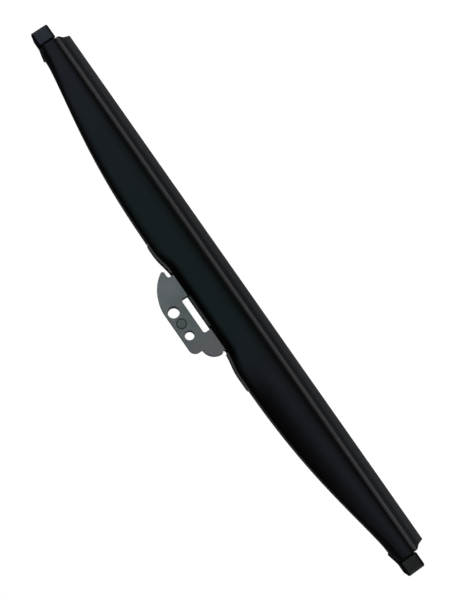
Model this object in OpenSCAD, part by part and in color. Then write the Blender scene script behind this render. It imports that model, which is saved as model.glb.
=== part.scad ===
// Winter wiper blade: a sprung frame of stamped steel levers inside a rubber boot,
// with a connector bracket for a hook arm or a side pin arm.
// X runs along the blade, Y across it, Z up from the wiping lip to the connector.
// The origin is the middle of the hook pin.

/* [Overall] */
// Length of the wiping lip
wiping_len = 330.2; // [300:1:380]
// Height of the hook pin's axis above the boot's spine
pin_over_spine = 11.2; // [11:0.1:12]
// Play between pieces that are seated on each other
seat_gap = 0.2; // [0.12:0.02:0.25]
// Radial clearance of a pin or tenon in its hole
pin_gap = 0.05; // [0.02:0.01:0.1]

/* [Wiping rubber] */
// Height of the thin lip
lip_h = 3.4; // [2.5:0.1:4.5]
// Thickness of the lip at its tip
lip_tip_t = 0.9; // [0.6:0.05:1.3]
// Thickness of the lip where the wedge begins
lip_root_t = 1.3; // [1:0.05:1.8]
// Height of the wedge above the lip
wedge_h = 2.5; // [1.8:0.1:3.5]
// Height of the shoulder under the boot
shoulder_h = 1.9; // [1.4:0.1:2.5]
// Width of the shoulder
shoulder_w = 6.8; // [5:0.1:8]
// Depth of the fine line along each side of the shoulder
shoulder_line = 0.2; // [0.1:0.05:0.4]
// Thickness of the neck that passes the boot's slit
neck_t = 1.8; // [1.4:0.1:2.2]
// Width of the head below the rails
head_low_w = 4.4; // [3.8:0.1:4.6]
// Width of the head above the rails
head_w = 5.2; // [4.6:0.1:6]
// Thickness of the head above the rails
head_top_t = 1.25; // [0.9:0.05:1.8]
// Thickness of the web between the two rails
rail_web_t = 2.3; // [1.8:0.1:2.6]
// How far the shoulder runs past the lip at each end
base_reach = 2.5; // [1.5:0.1:4]
// Radius of the hollow end cut of the lip
end_cut_r = 14; // [10:0.5:20]

/* [Spring rails] */
// Thickness of a rail
rail_t = 0.9; // [0.7:0.05:1.1]
// Width of a rail
rail_w = 2.15; // [1.8:0.05:2.4]
// Clearance round a rail in its groove
rail_gap = 0.05; // [0.03:0.01:0.08]
// How far a rail runs past the lip at each end
rail_reach = 6.2; // [5:0.1:7]
// Radius of the locking notch near each end of a rail
rail_notch_r = 0.7; // [0.5:0.05:0.9]

/* [Yokes and claws] */
// Sheet thickness of a yoke
yoke_t = 0.8; // [0.6:0.05:1]
// Width over a yoke's arms
yoke_w = 7.4; // [6.8:0.1:8.2]
// Distance of a yoke's pivot from the middle of the blade
pivot_x = 98; // [90:0.5:106]
// Height of a yoke's pivot above the claws
pivot_rise = 4.7; // [4.2:0.1:5]
// Distance of a yoke's pivot from its inner claw
inner_arm = 50; // [40:0.5:56]
// Distance of the outer claw from the end of the lip
claw_margin = 15.1; // [13:0.1:20]
// Length of a claw along the blade
claw_len = 8; // [6:0.1:9]
// Depth of a yoke's arm at the pivot
arm_depth = 6; // [5:0.1:6.4]
// Wall of a claw's plastic liner
liner_t = 0.4; // [0.3:0.05:0.5]
// Sliding clearance between a liner and the rails
slide_gap = 0.1; // [0.08:0.01:0.15]
// How far a liner stands out at each end of its claw
liner_proud = 0.6; // [0.4:0.1:1]

/* [Primary lever] */
// Sheet thickness of the primary lever
lever_t = 1; // [0.8:0.05:1.2]
// Depth of the lever's flanges in the middle
lever_depth = 8.2; // [7:0.1:9]
// Height that the lever's lower edge is arched over the inner claws
lever_arch = 1.5; // [1:0.1:2]
// How far the lever runs past the pivot
lever_overhang = 5; // [4:0.1:7]
// Radius of the rounded flange ends round the pivots
lever_eye_r = 3.4; // [3.2:0.1:3.8]
// Width of the long openings in the lever's web
web_slot_w = 4.4; // [3:0.1:5.5]
// Length of the long openings in the lever's web
web_slot_len = 26; // [16:0.5:30]
// Distance of the long openings from the middle of the blade
web_slot_x = 62; // [56:0.5:66]

/* [Pivot pieces] */
// Radius of a yoke rivet's shank
yoke_rivet_r = 1.6; // [1.3:0.05:1.8]
// Radius of a yoke rivet's heads
yoke_rivet_head_r = 2.6; // [2.3:0.05:3]
// Thickness of a yoke rivet's heads
yoke_rivet_head_t = 0.7; // [0.5:0.05:0.8]
// Wall of a pivot bush
bush_wall = 0.6; // [0.4:0.05:0.7]
// Thickness of a bush's collar
bush_collar_t = 0.4; // [0.3:0.05:0.5]
// Width of a bush's collar round its sleeve
bush_collar_w = 0.5; // [0.3:0.05:0.6]

/* [Connector bracket] */
// Sheet thickness of the bracket
bracket_t = 1.4; // [1.2:0.05:1.6]
// Clear width between the two ears
hook_gap = 9.8; // [9.2:0.1:10.4]
// Height of the ears above the pin's axis
ear_top = 4.5; // [4:0.1:5.5]
// Radius of the long round nose of an ear
nose_r = 22.1; // [20:0.1:24]
// Distance of the nose's centre from the pin
nose_x = 9.6; // [8:0.1:11]
// Depth of the fin's lower edge below the pin's axis
fin_drop = 7.9; // [7.5:0.1:8.4]
// Length of the ear's root on the finned side
root_fin = 24; // [22.5:0.1:25]
// Length of the ear's root on the lobed side
root_lobe = 25; // [24:0.1:25.4]
// How far the fin's tip is cut back
tip_cut = 1.5; // [0.8:0.1:2.5]
// Angle of that cut from the fin's lower edge
tip_angle = 57; // [45:1:80]
// Radius of the notch between the fin and the ear's root
notch_r = 1.4; // [1:0.1:1.6]
// Radius of the relief notch at the root's other end
relief_r = 0.8; // [0.5:0.1:1]
// Distance of the ear's square corner from the pin
corner_x = 17.5; // [17:0.1:19]
// Radius of the ear's corner
corner_r = 4.1; // [3:0.1:5]
// Radius of the ear's lobe
lobe_r = 7.9; // [7.4:0.1:8.2]
// Distance of the lobe's centre below the pin's axis
lobe_drop = 9.2; // [8.6:0.1:9.4]
// Radius of the large side pin hole
big_hole_r = 3.25; // [2.6:0.05:3.6]
// Radius of the small side pin hole
small_hole_r = 2.6; // [2.2:0.05:3]
// Distance of each side pin hole from the hook pin
hole_pitch = 7.45; // [7:0.05:8]
// Length of the slot through the ears
slot_len = 21.8; // [18:0.1:24]
// Depth of the slot's upper edge below the pin's axis
slot_drop = 7; // [6.6:0.1:7.2]
// Height of the slot
slot_h = 4.7; // [4.4:0.1:4.8]
// Radius of the slot's corners
slot_r = 1.3; // [0.6:0.1:1.5]
// Outer bend radius of the bracket
bend_r = 1.9; // [1.6:0.1:2.2]

/* [Hook pin and bracket rivets] */
// Radius of the hook pin between the ears
hook_pin_r = 2.35; // [2:0.05:2.4]
// Radius of the pin's riveted ends
hook_end_r = 2.7; // [2.5:0.05:2.9]
// How far the riveted ends stand out of the ears
hook_end_proud = 0.15; // [0.1:0.05:0.3]
// Distance of a bracket rivet from the middle of the blade
bracket_rivet_x = 17; // [15:0.1:18.5]
// Radius of a bracket rivet's shank
bracket_rivet_r = 2; // [1.6:0.05:2.4]
// Radius of a bracket rivet's head
bracket_rivet_head_r = 3.3; // [2.8:0.05:3.6]
// Height of a bracket rivet's head
bracket_rivet_head_t = 0.9; // [0.7:0.05:1]

/* [Boot] */
// Wall of the boot
boot_wall = 1.3; // [1.1:0.05:1.4]
// Height of the spine above the boot's lower edge at the connector
spine_mid_h = 20.7; // [20.4:0.1:21]
// Height of the spine above the yokes' pivots, where the boot is tallest
spine_over_pivot = 11.6; // [11:0.1:12.5]
// Height of the spine at the end caps
spine_end_h = 10.8; // [10.2:0.1:11.4]
// Distance from the middle at which the spine starts to rise
dip_start = 25; // [24:0.5:28]
// Distance from the middle at which the spine is tallest
dip_end = 40; // [36:0.5:44]
// Width of the boot in the middle
boot_mid_w = 18.2; // [17.8:0.1:20]
// Clearance of the boot from the claws' sides
boot_claw_gap = 0.35; // [0.25:0.05:0.5]
// Height of the belly that tucks in to the lower edge
tuck_h = 4.2; // [3:0.1:5]
// How far the side leans in from the belly to the crease
side_lean = 0.7; // [0.4:0.05:0.8]
// Height of the sloped shoulder beside the connector
crease_mid_h = 2.5; // [2:0.1:2.8]
// Height of the sloped shoulder along the spine
crease_run_h = 0.7; // [0.5:0.05:1]
// Height of the sloped shoulder at the end caps
crease_end_h = 2.2; // [1.6:0.1:2.4]
// Width of the sloped shoulder for each millimetre of its height
crease_slope = 0.76; // [0.65:0.01:0.8]
// How far the raised rim runs towards the fin side
rim_fin = 45; // [42:0.5:50]
// How far the raised rim runs towards the lobe side
rim_lobe = 49; // [44:0.5:52]
// Height of the raised rim
rim_h = 0.6; // [0.4:0.05:0.8]
// Width of the raised rim
rim_w = 1; // [0.8:0.05:1.2]
// Radius of the rim's corners
rim_r = 3; // [2:0.1:4]

/* [End caps] */
// Length of a cap's head
cap_len = 8.2; // [7:0.1:11]
// Clearance between the rubber's end and a cap's head
cap_clear = 0.3; // [0.2:0.05:1]
// Width of the groove between a cap's head and the boot
cap_groove = 1.3; // [1:0.1:2]
// Depth of that groove
cap_groove_depth = 0.8; // [0.5:0.05:0.9]
// How far a cap's head stands below the boot's lower edge
cap_drop = 0.8; // [0.6:0.05:1.2]
// Height of a cap's head
cap_h = 10.8; // [10.4:0.1:11.8]
// How far a cap's head stands out beside the boot
cap_side = 0.15; // [0.05:0.05:0.4]
// Radius of the edges of a cap's head
cap_edge_r = 1.7; // [1:0.1:2]
// Length of the plug inside the boot
plug_len = 10; // [7:0.1:11]
// Length of the tongue on the boot's spine
tongue_len = 4.8; // [4:0.1:7]
// Thickness of the tongue
tongue_t = 0.8; // [0.6:0.05:1]

/* [Hidden] */

// Overshoot of a cutting tool past the face that it cuts
over = 1;
// Facets of a round that shows, and of a small round
$fn = 48;
small_fn = 24;

// Heights, from the lip upwards
tip_z = -(lip_h + wedge_h + shoulder_h + seat_gap + spine_mid_h + pin_over_spine);
wedge_z = tip_z + lip_h;
shoulder_z = wedge_z + wedge_h;
neck_z = shoulder_z + shoulder_h;
boot_z = neck_z + seat_gap;
claw_z = boot_z + boot_wall + slide_gap;
head_z = boot_z + boot_wall + seat_gap;
liner_z = claw_z + yoke_t + pin_gap;
rail_z = liner_z + liner_t + slide_gap;
rail_top_z = rail_z + rail_t;
head_top_z = rail_top_z + rail_gap + head_top_t;
liner_top_z = head_top_z + slide_gap + liner_t;
claw_top_z = liner_top_z + pin_gap + yoke_t;
pivot_z = claw_top_z + pivot_rise;

// Half-widths, from the middle outwards
rail_out_y = rail_web_t / 2 + rail_gap + rail_w;
liner_y = rail_out_y + slide_gap + liner_t;
claw_y = liner_y + pin_gap + yoke_t;
boot_foot_y = claw_y + boot_claw_gap + boot_wall;
slit_y = neck_t / 2 + seat_gap;
hook_y = hook_gap / 2;
ear_y = hook_y + bracket_t;
lever_in_y = yoke_w / 2 + bush_collar_t + slide_gap;
lever_y = lever_in_y + lever_t;

// Places along the blade
lip_end = wiping_len / 2;
base_end = lip_end + base_reach;
rail_end = lip_end + rail_reach;
claw_x = lip_end - claw_margin;
head_start = base_end + cap_clear;
boot_end = head_start - cap_groove;
cap_end = head_start + cap_len;
tongue_end = boot_end - tongue_len;
rail_notch_x = rail_end - 3 * rail_notch_r;

function mix(a, b, t) = a + (b - a) * t;
function clip(t) = max(0, min(1, t));
function smooth(t) = let (u = clip(t)) u * u * (3 - 2 * u);
// Share of the way from a to b at which x lies
function along(x, a, b) = (x - a) / (b - a);

// The boot's forms at a distance d from the middle of the blade
spine_peak_h = pivot_z + spine_over_pivot - boot_z;
spine_sag = 2.5;
spine_flare = 1.4;
spine_end_d = tongue_end - seat_gap;
crease_end_run = 28;
function spine_curve(t) = 1 - pow(1 - pow(clip(t), spine_sag), spine_flare);
function spine(d) = boot_z + (
    d < dip_end
        ? mix(spine_mid_h, spine_peak_h, smooth(along(d, dip_start, dip_end)))
        : mix(spine_peak_h, spine_end_h, spine_curve(along(d, dip_end, spine_end_d)))
) - tongue_fall(d);
// Under the tongue the spine falls away, so that the cap's top can be lower than its tip
tongue_drop = spine_end_h + tongue_t + seat_gap - (cap_h - cap_drop) + seat_gap;
function tongue_fall(d) = tongue_drop * clip(along(d, spine_end_d, boot_end));
function crease_h(d) = d < dip_end
    ? mix(crease_mid_h, crease_run_h, smooth(along(d, dip_start, dip_end)))
    : mix(crease_run_h, crease_end_h, smooth(along(d, spine_end_d - crease_end_run, spine_end_d)))
        - 0.5 * tongue_fall(d);
function swell(d) = 1 - pow(min(d, boot_end) / boot_end, 2);
function side_y(d) = mix(boot_foot_y, boot_mid_w / 2, swell(d));
function crease_y(d) = side_y(d) - mix(side_lean / 2, side_lean, swell(d));
function top_y(d) = crease_y(d) - crease_slope * crease_h(d);

// One half of the boot's section at d, from the lower edge to the spine, drawn in by inset
foot_r = 0.4;
belly_steps = 5;
function boot_half(d, inset) = let (
    low = boot_z + inset,
    foot = boot_foot_y - inset,
    belly = side_y(d) - inset,
    belly_h = mix(2 * foot_r, tuck_h, swell(d)) - inset / 2,
    crease_z = spine(d) - crease_h(d) - inset / 2,
    crease = crease_y(d) - inset,
    top = spine(d) - inset,
    top_in = top_y(d) - inset
) concat(
    [[foot - foot_r, low]],
    [for (k = [0 : belly_steps]) let (a = 90 * k / belly_steps)
        [mix(foot, belly, sin(a)), low + foot_r + belly_h * (1 - cos(a))]],
    [[mix(belly, crease, 0.3), mix(low + foot_r + belly_h, crease_z, 0.55)],
     [crease + 0.1, crease_z - 0.5], [crease - 0.1, crease_z],
     [top_in + 0.25, top - 0.15], [top_in - 0.35, top]]
);
function mirrored(half) = concat(half, [for (i = [len(half) - 1 : -1 : 0]) [-half[i][0], half[i][1]]]);

// Stations along one half of the blade: close together where the spine dips
dip_steps = 14;
run_steps = 15;
tip_steps = 3;
half_stations = concat(
    [for (i = [1 : dip_steps]) (dip_end + 4) * i / dip_steps],
    [for (i = [1 : run_steps]) mix(dip_end + 4, spine_end_d, i / run_steps)],
    [for (i = [1 : tip_steps]) mix(spine_end_d, boot_end, i / tip_steps)]
);
function both_ways(half) = concat([for (i = [len(half) - 1 : -1 : 0]) -half[i]], [0], half);

// A closed skin through the boot's sections, lifted by lift at the spine
module boot_form(inset = 0, extra = 0, lift = 0) {
    xs = both_ways(extra > 0 ? concat(half_stations, [boot_end + extra]) : half_stations);
    rings = [for (x = xs) mirrored([
        for (p = boot_half(abs(x), inset)) [p[0], p[1] + (p[1] > spine(abs(x)) - inset - 0.2 ? lift : 0)]
    ])];
    n = len(rings[0]);
    points = [for (i = [0 : len(xs) - 1]) for (p = rings[i]) [xs[i], p[0], p[1]]];
    sides = [for (i = [0 : len(xs) - 2]) for (j = [0 : n - 1]) let (
        a = i * n + j, b = i * n + (j + 1) % n
    ) each [[a, a + n, b], [b, a + n, b + n]]];
    first = [for (j = [0 : n - 1]) j];
    last = [for (j = [n - 1 : -1 : 0]) (len(xs) - 1) * n + j];
    polyhedron(points, concat(sides, [first, last]), convexity = 8);
}

// A rectangle from its two corners, with round corners
module plate(low, high, r) {
    translate([low[0] + r, low[1]]) square([high[0] - low[0] - 2 * r, high[1] - low[1]]);
    translate([low[0], low[1] + r]) square([high[0] - low[0], high[1] - low[1] - 2 * r]);
    for (x = [low[0] + r, high[0] - r], y = [low[1] + r, high[1] - r])
        translate([x, y]) circle(r);
}

// A flat outline in X and Z, thick across the blade from y0 to y1
module across(y0, y1) {
    translate([0, y1, 0]) rotate([90, 0, 0]) linear_extrude(y1 - y0) children();
}

// A flat outline in Y and Z, long along the blade from x0 to x1
module lengthwise(x0, x1) {
    translate([x0, 0, 0]) rotate([90, 0, 90]) linear_extrude(x1 - x0) children();
}

// Turns a piece of the right half into one of the left half where side is -1
module sided(side) {
    mirror([side < 0 ? 1 : 0, 0, 0]) children();
}

// The raised rim on the spine: two bows that end at the ears
module rim_outline() {
    rim_y = top_y(dip_end) - seat_gap;
    difference() {
        plate([-rim_lobe, -rim_y], [rim_fin, rim_y], rim_r);
        plate([rim_w - rim_lobe, rim_w - rim_y], [rim_fin - rim_w, rim_y - rim_w], rim_r - rim_w);
        translate([-root_lobe - rim_w, -rim_y - over])
            square([root_lobe + root_fin + 2 * rim_w, 2 * (rim_y + over)]);
    }
}

module boot() {
    color("#1b1e20") difference() {
        union() {
            boot_form();
            intersection() {
                boot_form(lift = rim_h);
                translate([0, 0, boot_z + spine_mid_h - boot_wall])
                    linear_extrude(spine_peak_h) rim_outline();
            }
        }
        boot_form(inset = boot_wall, extra = over);
        // Slit for the rubber's neck
        translate([-boot_end - over, -slit_y, boot_z - over])
            cube([2 * (boot_end + over), 2 * slit_y, boot_wall + 2 * over]);
        // Opening for the ears
        translate([-root_lobe - seat_gap, -ear_y - seat_gap / 2, boot_z + spine_mid_h - 3 * boot_wall])
            cube([root_lobe + root_fin + 2 * seat_gap, 2 * ear_y + seat_gap, 4 * boot_wall]);
    }
}

// One half of the rubber's section, from the tip of the lip to the top of the head
function rubber_half() = let (line_z = shoulder_z + shoulder_h / 2) [
    [lip_tip_t / 2, tip_z],
    [lip_root_t / 2, wedge_z],
    [shoulder_w / 2, shoulder_z],
    [shoulder_w / 2, line_z - shoulder_line],
    [shoulder_w / 2 - shoulder_line, line_z],
    [shoulder_w / 2, line_z + shoulder_line],
    [shoulder_w / 2, neck_z],
    [neck_t / 2, neck_z],
    [neck_t / 2, head_z],
    [head_low_w / 2, head_z],
    [head_low_w / 2, rail_z - rail_gap],
    [rail_web_t / 2, rail_z - rail_gap],
    [rail_web_t / 2, rail_top_z + rail_gap],
    [head_w / 2, rail_top_z + rail_gap],
    [head_w / 2, head_top_z],
];

module wiping_rubber() {
    color("#2a2a2c") difference() {
        lengthwise(-base_end, base_end) polygon(mirrored(rubber_half()));
        // Hollow end cuts: the lip ends short of the shoulder
        for (side = [-1, 1]) sided(side) across(-shoulder_w, shoulder_w)
            translate([lip_end + end_cut_r, tip_z - base_reach]) circle(end_cut_r);
    }
}

module rail(side) {
    inner_y = rail_web_t / 2 + rail_gap;
    color("#8d9094") mirror([0, side < 0 ? 1 : 0, 0]) translate([0, 0, rail_z]) linear_extrude(rail_t)
        difference() {
            translate([-rail_end, inner_y]) square([2 * rail_end, rail_w]);
            for (x = [-rail_notch_x, rail_notch_x])
                translate([x, inner_y + rail_w]) circle(rail_notch_r);
        }
}

// The top of the lever's web follows the boot's spine, a bracket's thickness below it
function lever_top(d) = spine(d) - boot_wall - seat_gap - bracket_t;
lever_end = pivot_x + lever_overhang;
lever_steps = 20;
lever_stations = concat([0], [for (i = [0 : lever_steps]) mix(dip_start, lever_end, i / lever_steps)]);
lever_low_z = lever_top(0) - lever_depth;
eye_z = pivot_z - lever_eye_r;

// The arched outline of one half of the lever, without the eye round its pivot
module lever_half_outline() {
    top = [for (d = lever_stations) [d, lever_top(d)]];
    arch_x = pivot_x - inner_arm;
    low = [
        [lever_end, pivot_z + lever_eye_r / 2], [pivot_x + lever_eye_r / 2, pivot_z - lever_eye_r / 2],
        [pivot_x - lever_eye_r / 2, pivot_z - lever_eye_r / 2],
        [arch_x + 2 * claw_len, lever_low_z + lever_arch], [arch_x - claw_len / 2, lever_low_z + lever_arch],
        [arch_x - 2 * claw_len, lever_low_z], [0, lever_low_z],
    ];
    polygon(concat(top, low));
}

module primary_lever() {
    color("#3a3c3e") difference() {
        for (side = [-1, 1]) sided(side) {
            across(-lever_y, lever_y) lever_half_outline();
            translate([pivot_x, 0, pivot_z]) rotate([90, 0, 0])
                cylinder(r = lever_eye_r, h = 2 * lever_y, center = true);
        }
        // The channel between the flanges, open downwards
        for (side = [-1, 1]) sided(side) across(-lever_in_y, lever_in_y) channel_outline();
        for (side = [-1, 1]) sided(side) {
            translate([pivot_x, 0, pivot_z]) rotate([90, 0, 0])
                cylinder(r = yoke_rivet_r + pin_gap, h = 2 * (lever_y + over), center = true, $fn = small_fn);
            translate([bracket_rivet_x, 0, lever_top(0) - lever_t - over])
                cylinder(r = bracket_rivet_r + pin_gap, h = lever_t + 2 * over, $fn = small_fn);
            translate([0, 0, lever_top(web_slot_x) - lever_depth]) linear_extrude(2 * lever_depth)
                translate([web_slot_x - web_slot_len / 2, -web_slot_w / 2])
                    plate([0, 0], [web_slot_len, web_slot_w], web_slot_w / 2 - 0.1);
        }
    }
}

// What is cut out of the lever between its flanges: all but the web
module channel_outline() {
    top = [for (d = concat(lever_stations, [lever_end + over])) [d, lever_top(d) - lever_t]];
    polygon(concat(top, [[lever_end + over, eye_z - lever_depth], [0, eye_z - lever_depth]]));
}

// The bracket's outline from the side: a nose with a fin, a square corner and a lobe
module ear_outline() {
    root_z = lever_top(0);
    lobe_x = root_lobe - lobe_r + seat_gap;
    spine_z = boot_z + spine_mid_h;
    tip_x = nose_x + sqrt(pow(nose_r, 2) - pow(nose_r - ear_top - fin_drop, 2));
    difference() {
        union() {
            intersection() {
                translate([nose_x, ear_top - nose_r]) circle(nose_r, $fn = 96);
                translate([nose_x, -fin_drop]) square([nose_r, fin_drop + ear_top]);
            }
            translate([-corner_x, root_z]) square([corner_x + root_fin, -fin_drop - root_z]);
            translate([-corner_x, -fin_drop]) square([corner_x + nose_x, ear_top + fin_drop - corner_r]);
            translate([corner_r - corner_x, 0]) square([corner_x - corner_r + nose_x, ear_top]);
            translate([corner_r - corner_x, ear_top - corner_r]) circle(corner_r);
            intersection() {
                translate([-lobe_x, -lobe_drop]) circle(lobe_r);
                translate([-root_lobe - over, -lobe_drop]) square([root_lobe + over, lobe_drop]);
            }
            translate([-root_lobe, root_z]) square([root_lobe, -lobe_drop - root_z]);
            // The fillet between the fin's lower edge and the root
            difference() {
                translate([root_fin - over, -fin_drop - notch_r]) square(notch_r + over);
                translate([root_fin + notch_r, -fin_drop - notch_r]) circle(notch_r);
            }
        }
        // The fin's blunt tip
        translate([tip_x - tip_cut, -fin_drop]) rotate(tip_angle - 90)
            translate([0, -over]) square(nose_r);
        translate([-root_lobe, spine_z + relief_r]) circle(relief_r);
        plate([-slot_len / 2, -slot_drop - slot_h], [slot_len / 2, -slot_drop], slot_r);
        translate([hole_pitch, 0]) circle(big_hole_r);
        translate([-hole_pitch, 0]) circle(small_hole_r);
        circle(hook_end_r + pin_gap);
    }
}

// The bracket's bent section: a web with an ear at each side
module bracket_section() {
    low = lever_top(0);
    difference() {
        plate([-ear_y, low], [ear_y, ear_top + 2 * bend_r], bend_r);
        plate([-hook_y, low + bracket_t], [hook_y, ear_top + 4 * bend_r], bend_r - bracket_t);
    }
}

module connector_bracket() {
    color("#565a5e") difference() {
        intersection() {
            lengthwise(-root_lobe - nose_r, nose_x + nose_r) bracket_section();
            across(-ear_y, ear_y) ear_outline();
        }
        for (side = [-1, 1])
            translate([side * bracket_rivet_x, 0, lever_top(0) - over])
                cylinder(r = bracket_rivet_r + pin_gap, h = bracket_t + 2 * over, $fn = small_fn);
    }
}

module hook_pin() {
    color("#4c5054") rotate([90, 0, 0]) {
        cylinder(r = hook_pin_r, h = 2 * hook_y, center = true);
        for (side = [-1, 1]) mirror([0, 0, side < 0 ? 1 : 0]) translate([0, 0, hook_y]) {
            cylinder(r = hook_end_r, h = bracket_t);
            translate([0, 0, bracket_t])
                cylinder(r1 = hook_end_r, r2 = hook_end_r - hook_end_proud, h = hook_end_proud);
        }
    }
}

module bracket_rivet(side) {
    web_top = lever_top(0) + bracket_t;
    web_low = lever_top(0) - lever_t;
    color("#8d9094") translate([side * bracket_rivet_x, 0, 0]) {
        translate([0, 0, web_low]) cylinder(r = bracket_rivet_r, h = web_top - web_low, $fn = small_fn);
        translate([0, 0, web_top])
            cylinder(r1 = bracket_rivet_head_r, r2 = bracket_rivet_r, h = bracket_rivet_head_t, $fn = small_fn);
        translate([0, 0, web_low - bracket_rivet_head_t])
            cylinder(r1 = bracket_rivet_r, r2 = bracket_rivet_head_r, h = bracket_rivet_head_t, $fn = small_fn);
    }
}

// A yoke's arched outline from the side
arm_steps = 12;
inner_claw_x = pivot_x - inner_arm;
// The arms end in the claws' webs, just before the liners
liner_reach = claw_len / 2 + liner_proud;
arm_in = inner_claw_x + liner_reach;
arm_out = claw_x - liner_reach;
function arm_share(x) = clip(along(x, pivot_x, x < pivot_x ? arm_in : arm_out));
function arm_top(x) = mix(pivot_z + arm_depth / 2, claw_top_z, pow(arm_share(x), 2));
function arm_low(x) = arm_top(x) - mix(arm_depth, yoke_t, arm_share(x));
arm_xs = concat(
    [for (i = [0 : arm_steps]) mix(arm_in, pivot_x, i / arm_steps)],
    [for (i = [1 : arm_steps]) mix(pivot_x, arm_out, i / arm_steps)]
);

module arm_outline(drop = 0) {
    polygon(concat(
        [for (x = arm_xs) [x, arm_top(x) - drop]],
        [for (i = [len(arm_xs) - 1 : -1 : 0]) [arm_xs[i], arm_low(arm_xs[i]) - (drop > 0 ? arm_depth : 0)]]
    ));
}

// A claw's section: a C that grips the rails from above
module claw_section(y, low, high, wall, hook_in) {
    difference() {
        plate([-y, low], [y, high], wall);
        translate([wall - y, low + wall]) square([2 * (y - wall), high - low - 2 * wall]);
        translate([-hook_in, low - over]) square([2 * hook_in, wall + 2 * over]);
    }
}
hook_in_y = head_low_w / 2 + seat_gap;

module yoke(side) {
    color("#3a3c3e") sided(side) difference() {
        union() {
            difference() {
                across(-yoke_w / 2, yoke_w / 2) arm_outline();
                across(yoke_t - yoke_w / 2, yoke_w / 2 - yoke_t) arm_outline(drop = yoke_t);
            }
            for (x = [inner_claw_x, claw_x]) {
                lengthwise(x - claw_len / 2, x + claw_len / 2)
                    claw_section(claw_y, claw_z, claw_top_z, yoke_t, hook_in_y);
                // The web flares out from the arm to the claw's width
                translate([0, 0, claw_top_z - yoke_t]) linear_extrude(yoke_t) claw_flare(x);
            }
        }
        translate([pivot_x, 0, pivot_z]) rotate([90, 0, 0]) cylinder(
            r = yoke_rivet_r + bush_wall + 2 * pin_gap, h = yoke_w + 2 * over, center = true, $fn = small_fn
        );
    }
}

module claw_flare(x) {
    inward = sign(pivot_x - x);
    wide_x = x + inward * claw_len / 4;
    narrow_x = x + inward * liner_reach;
    polygon([
        [wide_x, -claw_y + yoke_t], [narrow_x + inward * yoke_t, -yoke_w / 2],
        [narrow_x + inward * yoke_t, yoke_w / 2], [wide_x, claw_y - yoke_t],
    ]);
}

module yoke_rivet(side) {
    color("#8d9094") translate([side * pivot_x, 0, pivot_z]) rotate([90, 0, 0]) {
        cylinder(r = yoke_rivet_r, h = 2 * lever_y, center = true, $fn = small_fn);
        for (end = [-1, 1]) mirror([0, 0, end < 0 ? 1 : 0]) translate([0, 0, lever_y])
            cylinder(r1 = yoke_rivet_head_r, r2 = yoke_rivet_r, h = yoke_rivet_head_t, $fn = small_fn);
    }
}

// A flanged sleeve in each arm of a yoke, round the rivet
module bush(side, end) {
    sleeve_r = yoke_rivet_r + pin_gap + bush_wall;
    outer_y = yoke_w / 2 + bush_collar_t;
    color("#d8d6cc") translate([side * pivot_x, 0, pivot_z]) mirror([0, end < 0 ? 1 : 0, 0])
        rotate([-90, 0, 0]) difference() {
            union() {
                translate([0, 0, yoke_w / 2 - yoke_t]) cylinder(r = sleeve_r, h = yoke_t, $fn = small_fn);
                translate([0, 0, yoke_w / 2])
                    cylinder(r = sleeve_r + bush_collar_w, h = bush_collar_t, $fn = small_fn);
            }
            cylinder(r = yoke_rivet_r + pin_gap, h = outer_y + over, $fn = small_fn);
        }
}

module claw_liner(side, x) {
    color("#d8d6cc") sided(side) lengthwise(x - liner_reach, x + liner_reach)
        claw_section(liner_y, liner_z, liner_top_z, liner_t, hook_in_y);
}

// A cap's head from the side and from above, with round edges
cap_low_z = boot_z - cap_drop;
cap_top_z = cap_low_z + cap_h;
cap_y = boot_foot_y + cap_side;

module cap_head() {
    intersection() {
        across(-cap_y, cap_y) plate([head_start, cap_low_z], [cap_end, cap_top_z], cap_edge_r);
        translate([0, 0, cap_low_z]) linear_extrude(cap_h)
            plate([head_start, -cap_y], [cap_end, cap_y], cap_edge_r);
        lengthwise(head_start, cap_end) plate([-cap_y, cap_low_z], [cap_y, cap_top_z], cap_edge_r);
    }
    translate([head_start, 0, 0]) lengthwise(0, cap_edge_r)
        plate([-cap_y, cap_low_z], [cap_y, cap_top_z], cap_edge_r);
}

// The tongue lies on the falling end of the spine and ends in a blunt tip
module tongue_outline() {
    polygon([
        [head_start + cap_edge_r, cap_top_z - tongue_t],
        [boot_end, spine(boot_end) + seat_gap / 2],
        [tongue_end, spine(tongue_end) + seat_gap / 2],
        [tongue_end, spine(tongue_end) + seat_gap / 2 + tongue_t / 2],
        [tongue_end + tongue_t, spine(tongue_end) + seat_gap / 2 + tongue_t],
        [head_start + cap_edge_r, cap_top_z],
    ]);
}

module end_cap(side) {
    plug_y = crease_y(boot_end) - boot_wall - seat_gap;
    plug_top = spine(boot_end) - boot_wall - seat_gap;
    groove_y = cap_y - cap_groove_depth;
    tongue_y = top_y(spine_end_d) - seat_gap;
    color("#232628") sided(side) difference() {
        union() {
            cap_head();
            // The groove's floor, between the head and the boot
            lengthwise(boot_end + seat_gap / 2, head_start + over)
                plate([-groove_y, cap_low_z + cap_groove_depth], [groove_y, cap_top_z - cap_groove_depth], 1);
            // The plug in the boot's end
            lengthwise(boot_end - plug_len, head_start + over)
                plate([-plug_y, head_z], [plug_y, plug_top], 1);
            across(-tongue_y, tongue_y) tongue_outline();
        }
        // The pocket that takes the rubber's head and the rails
        pocket_y = rail_out_y + slide_gap;
        lengthwise(boot_end - plug_len - over, rail_end + seat_gap)
            translate([-pocket_y, cap_low_z - over])
                square([2 * pocket_y, head_top_z + slide_gap - cap_low_z + over]);
    }
}

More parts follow.
